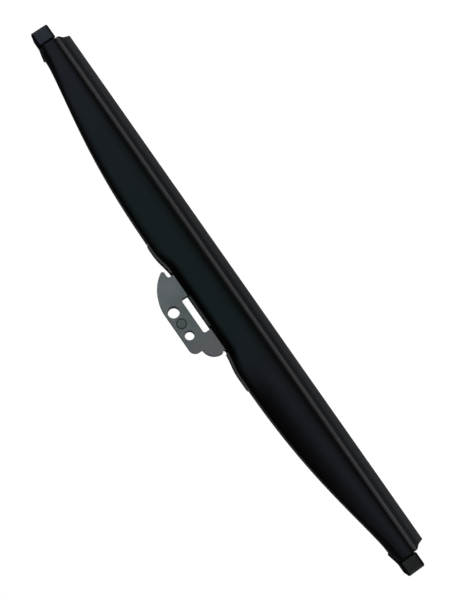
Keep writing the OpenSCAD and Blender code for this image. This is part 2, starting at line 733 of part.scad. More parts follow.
boot();
wiping_rubber();
rail(-1);  // rail_front
rail(1);  // rail_back
primary_lever();
connector_bracket();
hook_pin();
bracket_rivet(-1);  // bracket_rivet_left
bracket_rivet(1);  // bracket_rivet_right
yoke(-1);  // yoke_left
yoke(1);  // yoke_right
yoke_rivet(-1);  // yoke_rivet_left
yoke_rivet(1);  // yoke_rivet_right
bush(-1, -1);  // bush_left_front
bush(-1, 1);  // bush_left_back
bush(1, -1);  // bush_right_front
bush(1, 1);  // bush_right_back
claw_liner(-1, claw_x);  // claw_liner_left_outer
claw_liner(-1, inner_claw_x);  // claw_liner_left_inner
claw_liner(1, inner_claw_x);  // claw_liner_right_inner
claw_liner(1, claw_x);  // claw_liner_right_outer
end_cap(-1);  // end_cap_left
end_cap(1);  // end_cap_right
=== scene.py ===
# Winter wiper blade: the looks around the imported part, seen from its side.
# Lengths in the dictionaries are in millimetres unless a note says otherwise.
import math
import bmesh
import bpy
from mathutils import Matrix, Vector


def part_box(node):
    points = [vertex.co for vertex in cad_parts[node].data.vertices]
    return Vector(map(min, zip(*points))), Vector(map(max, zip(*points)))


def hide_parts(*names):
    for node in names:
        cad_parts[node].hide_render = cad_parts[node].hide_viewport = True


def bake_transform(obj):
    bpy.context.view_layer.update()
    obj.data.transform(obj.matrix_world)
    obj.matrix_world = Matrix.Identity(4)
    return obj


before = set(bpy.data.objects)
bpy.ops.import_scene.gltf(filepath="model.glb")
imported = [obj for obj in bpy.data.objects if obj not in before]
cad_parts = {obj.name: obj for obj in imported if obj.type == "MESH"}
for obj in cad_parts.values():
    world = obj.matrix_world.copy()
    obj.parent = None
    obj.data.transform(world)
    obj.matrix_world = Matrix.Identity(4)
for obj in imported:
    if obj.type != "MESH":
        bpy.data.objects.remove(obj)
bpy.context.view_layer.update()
mm = 0.001
weldGap = 1e-7    # metres: points this close are one point
planeGap = 1e-6   # metres: points this close to the middle plane lie in it
print("frame loaded:", len(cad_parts), "nodes")


def mix(a, b, t):
    return a + (b - a) * t


def smooth(t):  # an S-shaped rise from 0 to 1
    t = min(max(t, 0.0), 1.0)
    return t * t * (3 - 2 * t)


def share(x, a, b):  # how far x has gone from a to b
    return min(max((x - a) / (b - a), 0.0), 1.0)


def steps(start, end, count):  # points on a straight line, without its start
    return [(mix(start[0], end[0], k / count), mix(start[1], end[1], k / count))
            for k in range(1, count + 1)]


def meshObject(name, bm, smoothAngle=35):
    # faces flow into each other except across edges sharper than smoothAngle degrees
    for face in bm.faces:
        face.smooth = True
    for edge in bm.edges:
        if len(edge.link_faces) == 2:
            edge.smooth = edge.calc_face_angle(0) < math.radians(smoothAngle)
    mesh = bpy.data.meshes.new(name)
    bm.to_mesh(mesh)
    bm.free()
    piece = bpy.data.objects.new(name, mesh)
    bpy.context.scene.collection.objects.link(piece)
    return piece


def keepRest(piece):
    # where each point is before the blade bends, so that patterns bend with the rubber
    rest = piece.data.attributes.new("rest", "FLOAT_VECTOR", "POINT")
    for point, vertex in zip(rest.data, piece.data.vertices):
        point.vector = vertex.co


def wholeMesh(bm):
    return bm.verts[:] + bm.edges[:] + bm.faces[:]


def extrudeRow(bm, edges):
    # a new row of points and edges, still in the old one's place
    grown = bmesh.ops.extrude_edge_only(bm, edges=edges)["geom"]
    verts = {g for g in grown if isinstance(g, bmesh.types.BMVert)}
    return verts, [g for g in grown if isinstance(g, bmesh.types.BMEdge) and set(g.verts) <= verts]


def loft(bm, profileAt, stations, closed):
    # extrudes one section along X and reshapes it at each station
    row = bm.verts.layers.int.new("row")
    start = [bm.verts.new(Vector(p) * mm) for p in profileAt(stations[0])]
    for k, vert in enumerate(start):
        vert[row] = k
    ends = start[1:] + start[:1] if closed else start[1:]
    first = edges = [bm.edges.new(pair) for pair in zip(start, ends)]
    for x in stations[1:]:
        verts, edges = extrudeRow(bm, edges)
        section = profileAt(x)
        for vert in verts:
            vert.co = Vector(section[vert[row]]) * mm
    return first, edges


# Materials: each finish starts plain and gets its own marks further down.

patternSize = {"cloudDetail": 4.0, "glossDetail": 3.0, "grainDetail": 2.0, "grainRoughness": 0.6,
               "low": 0.3, "high": 0.7}  # low to high is the part of the noise's range that counts


def newMaterial(name, look):
    material = bpy.data.materials.new(name)
    material.use_nodes = True
    tree = material.node_tree
    tree.nodes.clear()
    output = tree.nodes.new("ShaderNodeOutputMaterial")
    shader = tree.nodes.new("ShaderNodeBsdfPrincipled")
    tree.links.new(shader.outputs["BSDF"], output.inputs["Surface"])
    shader.inputs["Specular IOR Level"].default_value = look["specular"]
    shader.inputs["Metallic"].default_value = look.get("metallic", 0.0)
    return material, tree, shader


def patternPlace(tree, look):
    # bending pieces read where they lay at rest, rigid ones their own coordinates
    if look.get("bends"):
        node = tree.nodes.new("ShaderNodeAttribute")
        node.attribute_name = "rest"
        source = node.outputs["Vector"]
    else:
        source = tree.nodes.new("ShaderNodeTexCoord").outputs["Object"]
    mapping = tree.nodes.new("ShaderNodeMapping")
    mapping.inputs["Scale"].default_value = look.get("stretch", (1, 1, 1))
    tree.links.new(source, mapping.inputs["Vector"])
    return source, mapping.outputs["Vector"]


def noise(tree, vector, size, detail, roughness=0.5):
    # size is the rough width of one patch
    node = tree.nodes.new("ShaderNodeTexNoise")
    node.inputs["Scale"].default_value = 1 / (size * mm)
    node.inputs["Detail"].default_value = detail
    node.inputs["Roughness"].default_value = roughness
    tree.links.new(vector, node.inputs["Vector"])
    return node.outputs["Fac"]


def ramp(tree, value, stops):
    node = tree.nodes.new("ShaderNodeValToRGB")
    marks = node.color_ramp.elements
    while len(marks) < len(stops):
        marks.new(1.0)
    for mark, (position, colour) in zip(marks, stops):
        mark.position = position
        mark.color = (*colour, 1)
    tree.links.new(value, node.inputs["Fac"])
    return node.outputs["Color"]


def spread(tree, value, low, high, outLow=0.0, outHigh=1.0):
    node = tree.nodes.new("ShaderNodeMapRange")
    for name, number in (("From Min", low), ("From Max", high), ("To Min", outLow), ("To Max", outHigh)):
        node.inputs[name].default_value = number
    tree.links.new(value, node.inputs["Value"])
    return node.outputs["Result"]


def axis(tree, vector, name):
    node = tree.nodes.new("ShaderNodeSeparateXYZ")
    tree.links.new(vector, node.inputs["Vector"])
    return node.outputs[name]


def combine(tree, operation, a, b=None):
    node = tree.nodes.new("ShaderNodeMath")
    node.operation = operation
    for socket, value in zip(node.inputs, (a, b)):
        if isinstance(value, (int, float)):
            socket.default_value = value
        elif value is not None:
            tree.links.new(value, socket)
    return node.outputs["Value"]


def mixColour(tree, factor, a, b, how="MIX"):
    node = tree.nodes.new("ShaderNodeMix")
    node.data_type = "RGBA"
    node.blend_type = how
    factorSocket = node.inputs[0]
    colourA, colourB = [s for s in node.inputs if s.type == "RGBA"]
    for socket, value in ((factorSocket, factor), (colourA, a), (colourB, b)):
        if isinstance(value, (int, float)):
            socket.default_value = value
        elif isinstance(value, tuple):
            socket.default_value = (*value, 1)
        else:
            tree.links.new(value, socket)
    return next(s for s in node.outputs if s.type == "RGBA")


def scaleColour(tree, colour, factor):  # the factor may go past 1
    node = tree.nodes.new("ShaderNodeVectorMath")
    node.operation = "SCALE"
    tree.links.new(colour, node.inputs[0])
    tree.links.new(factor, node.inputs["Scale"])
    return node.outputs["Vector"]


def bump(tree, shader, height, depth):  # depth is the full height of the relief
    node = tree.nodes.new("ShaderNodeBump")
    node.inputs["Distance"].default_value = depth * mm
    node.inputs["Strength"].default_value = 1.0
    tree.links.new(height, node.inputs["Height"])
    tree.links.new(node.outputs["Normal"], shader.inputs["Normal"])


def plainFinish(name, look):
    # cloudy colour, uneven gloss and a fine relief: the base of every finish
    p = patternSize
    material, tree, shader = newMaterial(name, look)
    source, vector = patternPlace(tree, look)
    clouds = noise(tree, vector, look["cloudSize"], p["cloudDetail"])
    colour = ramp(tree, clouds, [(p["low"], look["dark"]), (p["high"], look["light"])])
    gloss = noise(tree, vector, look["glossSize"], p["glossDetail"])
    roughness = spread(tree, gloss, p["low"], p["high"], *look["roughness"])
    grain = noise(tree, vector, look["grainSize"], p["grainDetail"], p["grainRoughness"])
    bump(tree, shader, grain, look["grainDepth"])
    tree.links.new(roughness, shader.inputs["Roughness"])
    tree.links.new(colour, shader.inputs["Base Color"])
    return {"material": material, "tree": tree, "shader": shader, "source": source,
            "vector": vector, "colour": colour}


def setColour(finish, colour):
    finish["colour"] = colour
    finish["tree"].links.new(colour, finish["shader"].inputs["Base Color"])


def tintAlong(finish, look):
    # a tint that drifts along the blade, from the lobed end of the bracket to the finned one; on the caps
    # and the bracket it is painted light, paler towards the finned end, and on the boot it is partly a
    # change of hue and partly painted shade
    tree = finish["tree"]
    reach = look["tintReach"] * mm
    return ramp(tree, spread(tree, axis(tree, finish["source"], "X"), -reach, reach), look["tints"])


def tinted(finish, tint):
    return mixColour(finish["tree"], 1.0, finish["colour"], tint, "MULTIPLY")


def paint(piece, finish):
    slots = piece.material_slots
    if len(slots) == 0:
        piece.data.materials.append(finish["material"])
    for slot in slots:
        slot.material = finish["material"]


# Boot: one rubber skin, made as two halves that meet in the middle.

bootSize = {
    "lowZ": -31.9, "slitY": 1.1, "footY": 6.35, "footRound": 0.5,
    "wall": 1.3, "end": 166.6, "midHalfWidth": 9.1,
    "spineMid": 20.7, "spinePeak": 22.6, "spineEnd": 10.8, "spineEndAt": 161.6,
    "spineSag": 2.5, "spineFlare": 1.4, "tongueFall": 2.0, "tonguePress": 0.13, "pressRun": 1.0,
    "dipStart": 25.0, "dipEnd": 40.0, "dipRun": 4.0,
    "tuck": 4.2, "sideLean": 0.7, "sideBow": 1.6, "sideStop": 0.6,
    "creaseMid": 2.5, "creaseRun": 0.7, "creaseEnd": 2.2, "creaseEndRun": 28.0, "creaseSlope": 0.76,
    "creasePoints": ((0.12, -0.55), (0.04, -0.2), (-0.14, 0.05)),  # out and up from the crease
    "spinePoints": ((0.3, -0.2), (-0.05, -0.04), (-0.5, 0.0)),     # out and up from the spine's edge
    "earPoints": (0.2, 0.05, 0.0),                                 # how far each stays out from the ears
    "earClear": 6.42, "openFin": 24.2, "openLobe": 25.2, "openStep": 0.2, "openGap": 0.6,
    "rimFin": 45.0, "rimLobe": 49.0, "rimHeight": 0.6, "rimWidth": 1.0, "rimFoot": 0.4,
    "rimRound": 3.0, "rimInset": 0.9, "rimStart": 1.2, "rimRun": 12, "rimTurn": 8,
    "bellyRows": 7, "sideRows": 4, "smoothAngle": 50,
    "dipStations": 26, "runStations": 34, "tipStations": 4,
    # painted shade and painted highlights: how pale each form is against the side of the boot, and where the
    # shades start and end
    "footShade": 0.0, "creaseShade": 0.0, "ledgeShade": 0.0, "runShade": 0.3, "spineHighlight": 4.5,
    "rimHighlight": 5.0, "slotHighlight": 3.5, "slotEnd": 9.6,
    "tuckShadeStart": 0.3, "tuckShadeMid": 6.6, "tuckShadeEnd": 2.8, "tuckShadeCurve": 1.3,
    "lobeShade": 0.12, "lobeShadeStart": 30.0, "lobeShadeEnd": 62.0,
    "lobeFade": 0.5, "lobeFadeStart": 110.0,
}
slitRows = 3       # the slit's edge, the middle of the foot and its corner
firstRimRow = 100  # the raised line's rows are numbered from here


def spineZ(d):
    s = bootSize
    if d < s["dipEnd"]:
        height = mix(s["spineMid"], s["spinePeak"], smooth(share(d, s["dipStart"], s["dipEnd"])))
    else:
        run = share(d, s["dipEnd"], s["spineEndAt"])
        height = mix(s["spinePeak"], s["spineEnd"], 1 - (1 - run ** s["spineSag"]) ** s["spineFlare"])
    # the rubber is pressed up against the cap's tongue
    press = s["tonguePress"] * share(d, s["spineEndAt"] - s["pressRun"], s["spineEndAt"])
    return s["lowZ"] + height + press - s["tongueFall"] * share(d, s["spineEndAt"], s["end"])


def creaseHeight(d):  # from the crease up to the spine
    s = bootSize
    if d < s["dipEnd"]:
        return mix(s["creaseMid"], s["creaseRun"], smooth(share(d, s["dipStart"], s["dipEnd"])))
    grown = smooth(share(d, s["spineEndAt"] - s["creaseEndRun"], s["spineEndAt"]))
    height = mix(s["creaseRun"], s["creaseEnd"], grown)
    return height - 0.5 * s["tongueFall"] * share(d, s["spineEndAt"], s["end"])


def swellAt(x):  # 1 in the middle of the blade, 0 at its ends
    return 1 - (min(abs(x), bootSize["end"]) / bootSize["end"]) ** 2


def formRows():
    # the rows of a section at the belly's top, the crease, the spine's edge and the flat's edge
    s = bootSize
    belly = slitRows + s["bellyRows"]
    crease = belly + s["sideRows"] + 1
    spine = crease + len(s["creasePoints"]) + 1
    return belly, crease, spine, spine + len(s["spinePoints"]) - 1


def bootSection(x, inset, opening):
    # one side of the section, from the slit to the middle of the spine, drawn in by inset;
    # as far as the opening reaches, the spine's edge keeps clear of the ears
    s = bootSize
    d, swell = abs(x), swellAt(x)
    side = mix(s["footY"], s["midHalfWidth"], swell)
    crease = side - mix(s["sideLean"] / 2, s["sideLean"], swell)
    topY = crease - s["creaseSlope"] * creaseHeight(d) - inset
    low, top = s["lowZ"] + inset, spineZ(d) - inset
    foot, belly, crease = s["footY"] - inset, side - inset, crease - inset
    tuck = mix(2 * s["footRound"], s["tuck"], swell) - inset / 2
    creaseZ = spineZ(d) - creaseHeight(d) - inset / 2
    clear = s["earClear"] if d < opening + s["openStep"] / 2 else 0.0
    slit = [(s["slitY"], low), (mix(s["slitY"], foot, 0.5), low), (foot - s["footRound"], low)]
    curve = []
    for k in range(s["bellyRows"] + 1):
        a = math.radians(90 * k / s["bellyRows"])
        curve.append((mix(foot, belly, math.sin(a)), low + s["footRound"] + tuck * (1 - math.cos(a))))
    bellyZ = curve[-1][1]
    sides = []
    for k in range(1, s["sideRows"] + 1):
        t = k / (s["sideRows"] + 1)
        sides.append((mix(belly, crease, t ** s["sideBow"]), mix(bellyZ, creaseZ - s["sideStop"], t)))
    edge = [(crease + out, creaseZ + up) for out, up in s["creasePoints"]]
    firstOut, firstUp = s["spinePoints"][0]
    slope = [(mix(edge[-1][0], topY + firstOut, 0.5), mix(creaseZ, top + firstUp, 0.5))]
    shoulder = [(max(topY + out, clear + least), top + up)
                for (out, up), least in zip(s["spinePoints"], s["earPoints"])]
    flat = [(shoulder[-1][0] * 0.5, top), (0.0, top)]
    return [(x, y, z) for y, z in slit + curve + sides + edge + slope + shoulder + flat]


def bootStations(opening):
    s = bootSize
    dipLast = s["dipEnd"] + s["dipRun"]
    dip = [dipLast * k / s["dipStations"] for k in range(s["dipStations"] + 1)]
    dip = [x for x in dip if abs(x - opening) > s["openGap"]] + [opening, opening + s["openStep"]]
    run = [mix(dipLast, s["spineEndAt"], k / s["runStations"]) for k in range(1, s["runStations"] + 1)]
    tip = [mix(s["spineEndAt"], s["end"], k / s["tipStations"]) for k in range(1, s["tipStations"] + 1)]
    return sorted(dip) + run + tip


def rimPath(length, opening):
    # the raised line on the spine, from the ears round to the other side
    s = bootSize
    y = s["midHalfWidth"] - s["sideLean"] - s["creaseSlope"] * s["creaseRun"] - s["rimInset"]
    corner = s["rimRound"]
    start, turn = opening + s["rimStart"], length - corner
    path = [(mix(start, turn, k / s["rimRun"]), y) for k in range(s["rimRun"])]
    for k in range(s["rimTurn"] + 1):
        a = math.radians(90 * k / s["rimTurn"])
        path.append((turn + corner * math.sin(a), y - corner + corner * math.cos(a)))
    return path + [(x, -y) for x, y in reversed(path)]


def rimShape():
    # across and up from the spine, from one foot of the raised line to the other
    half, height, foot = bootSize["rimWidth"] / 2, bootSize["rimHeight"], -bootSize["rimFoot"]
    return [(-half, foot), (-half, height / 2), (-half / 2, height),
            (half / 2, height), (half, height / 2), (half, foot)]


def addRim(bm, side, length, opening):
    shape, path = rimShape(), rimPath(length, opening)
    ring = [bm.verts.new((0, 0, 0)) for _ in shape]
    row = bm.verts.layers.int["row"]
    for k, vert in enumerate(ring):
        vert[row] = firstRimRow + k

    def put(verts, at):
        before, here, after = path[max(at - 1, 0)], path[at], path[min(at + 1, len(path) - 1)]
        along = Vector((after[0] - before[0], after[1] - before[1])).normalized()
        for vert in verts:
            across, up = shape[vert[row] - firstRimRow]
            x, y = here[0] - along.y * across, here[1] + along.x * across
            vert.co = Vector((x * side, y, spineZ(abs(x)) + up)) * mm

    put(ring, 0)
    edges = [bm.edges.new(pair) for pair in zip(ring, ring[1:] + ring[:1])]
    bmesh.ops.contextual_create(bm, geom=edges)
    for at in range(1, len(path)):
        verts, edges = extrudeRow(bm, edges)
        put(verts, at)
    bmesh.ops.contextual_create(bm, geom=edges)


def outerX(vert, outer, row):
    # how far along the blade a point of the inner wall is: along the edges of the skin it goes by
    # the outer point beside it, and elsewhere by its own place
    own = vert.co.x / mm
    beside = [v.co.x / mm for e in vert.link_edges for v in e.verts if v in outer and v[row] == vert[row]]
    return min(beside, default=own, key=lambda x: abs(x - own))


def makeBootHalf(name, side, opening, rimLength):
    s = bootSize
    bm = bmesh.new()
    stations = bootStations(opening)
    loft(bm, lambda x: bootSection(x, 0.0, opening), stations, closed=False)
    row = bm.verts.layers.int["row"]
    # the opening for the ears: the flat of the spine is left out there
    flatRow = formRows()[-1]
    inOpening = [f for f in bm.faces
                 if all(v[row] >= flatRow for v in f.verts) and f.calc_center_median().x < opening * mm]
    bmesh.ops.delete(bm, geom=inOpening, context="FACES")
    outer = set(bm.verts)
    bmesh.ops.solidify(bm, geom=bm.faces[:], thickness=s["wall"] * mm)
    # the wall is even all round: its inner side is the same section, drawn in
    inner = {x: bootSection(x, s["wall"], opening) for x in stations}
    for vert in bm.verts:
        if vert not in outer:
            here = outerX(vert, outer, row)
            station = min(stations, key=lambda x: abs(x - here))
            vert.co = Vector(inner[station][vert[row]]) * mm
    bmesh.ops.remove_doubles(bm, verts=bm.verts, dist=weldGap)
    bmesh.ops.mirror(bm, geom=wholeMesh(bm), matrix=Matrix.Identity(4), merge_dist=planeGap, axis="Y")
    inside = [f for f in bm.faces if all(abs(v.co.y) < planeGap for v in f.verts)]
    bmesh.ops.delete(bm, geom=inside, context="FACES_ONLY")
    if side < 0:
        bmesh.ops.scale(bm, vec=(-1, 1, 1), verts=bm.verts)
    addRim(bm, side, rimLength, opening)
    bmesh.ops.recalc_face_normals(bm, faces=bm.faces)
    piece = meshObject(name, bm, s["smoothAngle"])
    keepRest(piece)
    shadeBoot(piece)
    return piece


def sideShade(x, height, row, belly, crease):
    # painted shade: dark along the foot, and the lobed half lies in its own shade along the spine
    s = bootSize
    tuckTop = mix(s["tuckShadeEnd"], s["tuckShadeMid"], swellAt(x))
    tuck = smooth(share(height, s["tuckShadeStart"], tuckTop)) ** s["tuckShadeCurve"]
    lobe = smooth(share(-x, s["lobeShadeStart"], s["lobeShadeEnd"]))
    lobe *= 1 - s["lobeFade"] * share(-x, s["lobeFadeStart"], s["end"])
    shaded = mix(1, s["lobeShade"], lobe * smooth(share(row, belly + 1, crease - 1)))
    return mix(s["footShade"], shaded, tuck)


def shadeBoot(piece):
    # painted shade and painted highlights: folds stay black, the side is a little paler, and the spine, its
    # raised rim and the slot's edge are painted pale grey, as if they caught the light
    s, rim = bootSize, rimShape()
    belly, crease, spine = formRows()[:3]
    rows = [point.value for point in piece.data.attributes["row"].data]
    shade = piece.data.attributes.new("shade", "FLOAT", "POINT")
    for row, point, vertex in zip(rows, shade.data, piece.data.vertices):
        x, height = vertex.co.x / mm, vertex.co.z / mm - s["lowZ"]
        ledge = 1 - smooth(share(abs(x), s["openFin"], s["dipEnd"]))
        if row >= firstRimRow:
            raised = rim[row - firstRimRow][1] > 0
            point.value = s["rimHighlight"] if raised else s["ledgeShade"]
        elif row < crease:
            point.value = sideShade(x, height, row, belly, crease)
        elif row <= crease + 1:
            point.value = s["creaseShade"]
        elif row >= spine and abs(x) < s["slotEnd"]:
            point.value = s["slotHighlight"]
        else:
            point.value = mix(s["runShade"] if row <= spine else s["spineHighlight"], s["ledgeShade"], ledge)


bootRight = makeBootHalf("boot_half_right", 1, bootSize["openFin"], bootSize["rimFin"])
bootLeft = makeBootHalf("boot_half_left", -1, bootSize["openLobe"], bootSize["rimLobe"])
print("boot:", len(bootRight.data.polygons), "faces a half")


# Wiping rubber: one extrusion from lip to head, in two halves as well.

rubberSize = {
    "tipZ": -39.9, "wedgeZ": -36.5, "shoulderZ": -34.0, "neckZ": -32.1, "headZ": -30.4,
    "railLow": -29.2, "railHigh": -28.2, "headTop": -26.95,
    "tipHalf": 0.45, "rootHalf": 0.65, "shoulderHalf": 3.4, "lineDepth": 0.2, "neckHalf": 0.9,
    "headLowHalf": 2.2, "webHalf": 1.15, "headHalf": 2.6, "edgeBevel": 0.12,
    "lipEnd": 165.1, "baseEnd": 167.6, "cutRadius": 14.0, "cutDrop": 2.5,
    "stations": 48, "rows": 4, "smoothAngle": 30,
}
lineZ = (rubberSize["shoulderZ"] + rubberSize["neckZ"]) / 2  # the fine line along the shoulder


def rubberEnd(z):  # the lip ends in a hollow cut
    s = rubberSize
    rise = z - s["tipZ"] + s["cutDrop"]
    reach = s["cutRadius"] - math.sqrt(max(s["cutRadius"] ** 2 - rise ** 2, 0.0))
    return min(s["lipEnd"] + reach, s["baseEnd"])


def rubberSection(x):
    s = rubberSize
    tip, root = (s["tipHalf"], s["tipZ"]), (s["rootHalf"], s["wedgeZ"])
    half = [(s["tipHalf"] - s["edgeBevel"], s["tipZ"]), (s["tipHalf"], s["tipZ"] + s["edgeBevel"])]
    half += steps(tip, root, s["rows"]) + steps(root, (s["shoulderHalf"], s["shoulderZ"]), s["rows"])
    half += [
        (s["shoulderHalf"], lineZ - s["lineDepth"]), (s["shoulderHalf"] - s["lineDepth"], lineZ),
        (s["shoulderHalf"], lineZ + s["lineDepth"]),
        (s["shoulderHalf"], s["neckZ"]), (s["neckHalf"], s["neckZ"]), (s["neckHalf"], s["headZ"]),
        (s["headLowHalf"], s["headZ"]), (s["headLowHalf"], s["railLow"]), (s["webHalf"], s["railLow"]),
        (s["webHalf"], s["railHigh"]), (s["headHalf"], s["railHigh"]), (s["headHalf"], s["headTop"]),
    ]
    ring = half + [(-y, z) for y, z in reversed(half)]
    return [(x * rubberEnd(z) / s["baseEnd"], y, z) for y, z in ring]


def makeRubberHalf(name, side):
    s = rubberSize
    bm = bmesh.new()
    stations = [s["baseEnd"] * k / s["stations"] for k in range(s["stations"] + 1)]
    for ring in loft(bm, rubberSection, stations, closed=True):
        bmesh.ops.contextual_create(bm, geom=ring)
    if side < 0:
        bmesh.ops.scale(bm, vec=(-1, 1, 1), verts=bm.verts)
    bmesh.ops.recalc_face_normals(bm, faces=bm.faces)
    piece = meshObject(name, bm, s["smoothAngle"])
    keepRest(piece)
    return piece


rubberRight = makeRubberHalf("wiping_rubber_half_right", 1)
rubberLeft = makeRubberHalf("wiping_rubber_half_left", -1)
print("wiping rubber:", len(rubberRight.data.polygons), "faces a half")


# Spring rails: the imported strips, cut in the middle and given points to bend at.

railSize = {"stations": 24, "weld": 0.002}


def makeRailHalf(node, side):
    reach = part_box(node)[1].x
    bm = bmesh.new()
    bm.from_mesh(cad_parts[node].data)
    bmesh.ops.remove_doubles(bm, verts=bm.verts, dist=railSize["weld"] * mm)
    cut = bmesh.ops.bisect_plane(bm, geom=wholeMesh(bm), dist=weldGap, plane_co=(0, 0, 0),
                                 plane_no=(side, 0, 0), clear_inner=True)
    rim = [e for e in cut["geom_cut"] if isinstance(e, bmesh.types.BMEdge)]
    bmesh.ops.contextual_create(bm, geom=rim)
    for k in range(1, railSize["stations"]):
        place = (side * reach * k / railSize["stations"], 0, 0)
        bmesh.ops.bisect_plane(bm, geom=wholeMesh(bm), dist=weldGap, plane_co=place, plane_no=(1, 0, 0))
    bmesh.ops.recalc_face_normals(bm, faces=bm.faces)
    piece = meshObject(f"{node}_half_{'right' if side > 0 else 'left'}", bm)
    keepRest(piece)
    return piece


rails = {(node, side): makeRailHalf(node, side) for node in ("rail_front", "rail_back") for side in (-1, 1)}
print("rails:", len(rails), "halves")


# Placing: each half is set in place, and the imported node it stands for is hidden.


def bend(piece, node):
    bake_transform(piece)
    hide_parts(node)


bend(bootRight, "boot")
bend(bootLeft, "boot")
bend(rubberRight, "wiping_rubber")
bend(rubberLeft, "wiping_rubber")
for (node, side), piece in rails.items():
    bend(piece, node)


# Finishes: tints are stops along the blade, from one end of tintReach to the other.

bootLook = {"bends": True, "dark": (0.0082, 0.0104, 0.0119), "light": (0.0108, 0.0134, 0.0147),
            "tints": ((0.3, (1.00, 0.88, 1.08)), (0.45, (0.76, 1.0, 1.05)),
                      (0.7, (0.76, 1.0, 1.05)), (0.95, (0.82, 0.88, 1.14))),
            "tintReach": bootSize["end"],
            # the pale grey below is a painted highlight on the spine, its raised rim and the slot's edge
            "paintedHighlight": (0.062, 0.062, 0.058), "highlightFrom": 1.2, "highlightTo": 3.5,
            "cloudSize": 60, "glossSize": 9, "roughness": (0.40, 0.48), "specular": 0.05,
            "grainSize": 0.55, "grainDepth": 0.012, "stretch": (0.5, 1, 1)}
rubberLook = {"bends": True, "dark": (0.0056, 0.0066, 0.0078), "light": (0.0076, 0.0087, 0.0100),
              "cloudSize": 14, "glossSize": 6, "roughness": (0.5, 0.7), "specular": 0.12,
              "grainSize": 0.4, "grainDepth": 0.01, "stretch": (0.12, 1, 1),
              # the lip's tints are painted light, paler towards the tip
              "lipTints": ((0.0, (0.085, 0.086, 0.090)), (0.2, (0.0220, 0.0235, 0.0255)),
                           (0.95, (0.0125, 0.0138, 0.0155))),
              "lipOver": 0.4, "lipFade": (0.1, 0.5),  # how far past the wedge's root
              "raggedSize": 2.5, "raggedDetail": 4.0, "raggedRoughness": 0.65,
              "raggedRange": (0.2, 0.8), "raggedShift": 0.25,
              # the strip's colours are painted light on the shoulder's face, paler than the rest of the
              # rubber
              "paintedLitStrip": (0.055, 0.055, 0.058), "stripDark": (0.038, 0.039, 0.042),
              "stripFade": (-0.1, 0.05), "stripShade": 0.62, "lineFade": 0.05}
capLook = {"dark": (0.0165, 0.0185, 0.0212), "light": (0.0230, 0.0256, 0.0290),
           # the near-black edge colour is painted shade on the round edges, groove and tongue
           "edge": (0.0012, 0.0016, 0.0022), "faceY": 6.5, "faceFade": (0.10, 0.01),
           # the tints are partly painted light: the cap at the finned end is paler, as if more lit, and
           # bluer
           "tints": ((0.3, (0.62, 0.66, 0.50)), (0.7, (0.78, 0.90, 1.15))), "tintReach": 170,
           "cloudSize": 7, "glossSize": 3, "roughness": (0.38, 0.5), "specular": 0.08,
           "grainSize": 0.25, "grainDepth": 0.012}
bracketLook = {"dark": (0.076, 0.096, 0.101), "light": (0.098, 0.112, 0.119),
               # the tints are painted light: paler towards the finned end, as if lit from there
               "tints": ((0.0, (1.10, 0.96, 0.98)), (0.35, (1, 1, 1)),
                         (0.7, (1, 1, 1)), (1.0, (1.22, 1.20, 1.20))), "tintReach": 20,
               "cloudSize": 8, "glossSize": 2.5, "roughness": (0.36, 0.48), "specular": 0.4,
               "grainSize": 0.6, "grainDepth": 0.008, "ringColour": (0.012, 0.015, 0.016),
               "ringIn": 2.35, "ringOut": 2.85, "ringFade": 0.15, "pinShade": (0.74, 0.80, 0.78)}
leverLook = {"dark": (0.014, 0.014, 0.015), "light": (0.024, 0.024, 0.025),
             "cloudSize": 10, "glossSize": 3, "roughness": (0.3, 0.45), "specular": 0.5,
             "grainSize": 0.5, "grainDepth": 0.01}
steelLook = {"dark": (0.36, 0.37, 0.38), "light": (0.46, 0.47, 0.48), "metallic": 1.0,
             "cloudSize": 3, "glossSize": 1.2, "roughness": (0.28, 0.42), "specular": 0.5,
             "grainSize": 0.3, "grainDepth": 0.006}
springLook = {"bends": True, "dark": (0.38, 0.38, 0.39), "light": (0.5, 0.5, 0.51), "metallic": 1.0,
              "cloudSize": 6, "glossSize": 2, "roughness": (0.22, 0.36), "specular": 0.5,
              "grainSize": 0.3, "grainDepth": 0.004, "stretch": (0.04, 1, 1)}
bearingLook = {"dark": (0.62, 0.61, 0.57), "light": (0.74, 0.73, 0.69),
               "cloudSize": 4, "glossSize": 2, "roughness": (0.4, 0.55), "specular": 0.4,
               "grainSize": 0.3, "grainDepth": 0.005}

bootFinish = plainFinish("bootRubber", bootLook)
rubberFinish = plainFinish("graphiteRubber", rubberLook)
capFinish = plainFinish("grainedPlastic", capLook)
bracketFinish = plainFinish("satinGreyPaint", bracketLook)
leverFinish = plainFinish("satinBlackPaint", leverLook)
steelFinish = plainFinish("rivetSteel", steelLook)
springFinish = plainFinish("springSteel", springLook)
bearingFinish = plainFinish("bearingPlastic", bearingLook)


def paintShadeAndHighlight(finish, look):
    # the painted shade of the boot's folds, and a painted pale grey highlight where it goes well past 1
    tree = finish["tree"]
    node = tree.nodes.new("ShaderNodeAttribute")
    node.attribute_name = "shade"
    shade = node.outputs["Fac"]
    paintedHighlight = spread(tree, shade, look["highlightFrom"], look["highlightTo"])
    shaded = scaleColour(tree, tinted(finish, tintAlong(finish, look)), shade)
    setColour(finish, mixColour(tree, paintedHighlight, shaded, look["paintedHighlight"]))


def paintEdgeShade(finish, look):
    # the caps' flat sides are grained and grey; their round edges, groove and tongue are painted black as
    # shade
    tree = finish["tree"]
    out = combine(tree, "ABSOLUTE", axis(tree, finish["source"], "Y"))
    flat = spread(tree, out, *[(look["faceY"] - before) * mm for before in look["faceFade"]])
    setColour(finish, mixColour(tree, flat, look["edge"], tinted(finish, tintAlong(finish, look))))


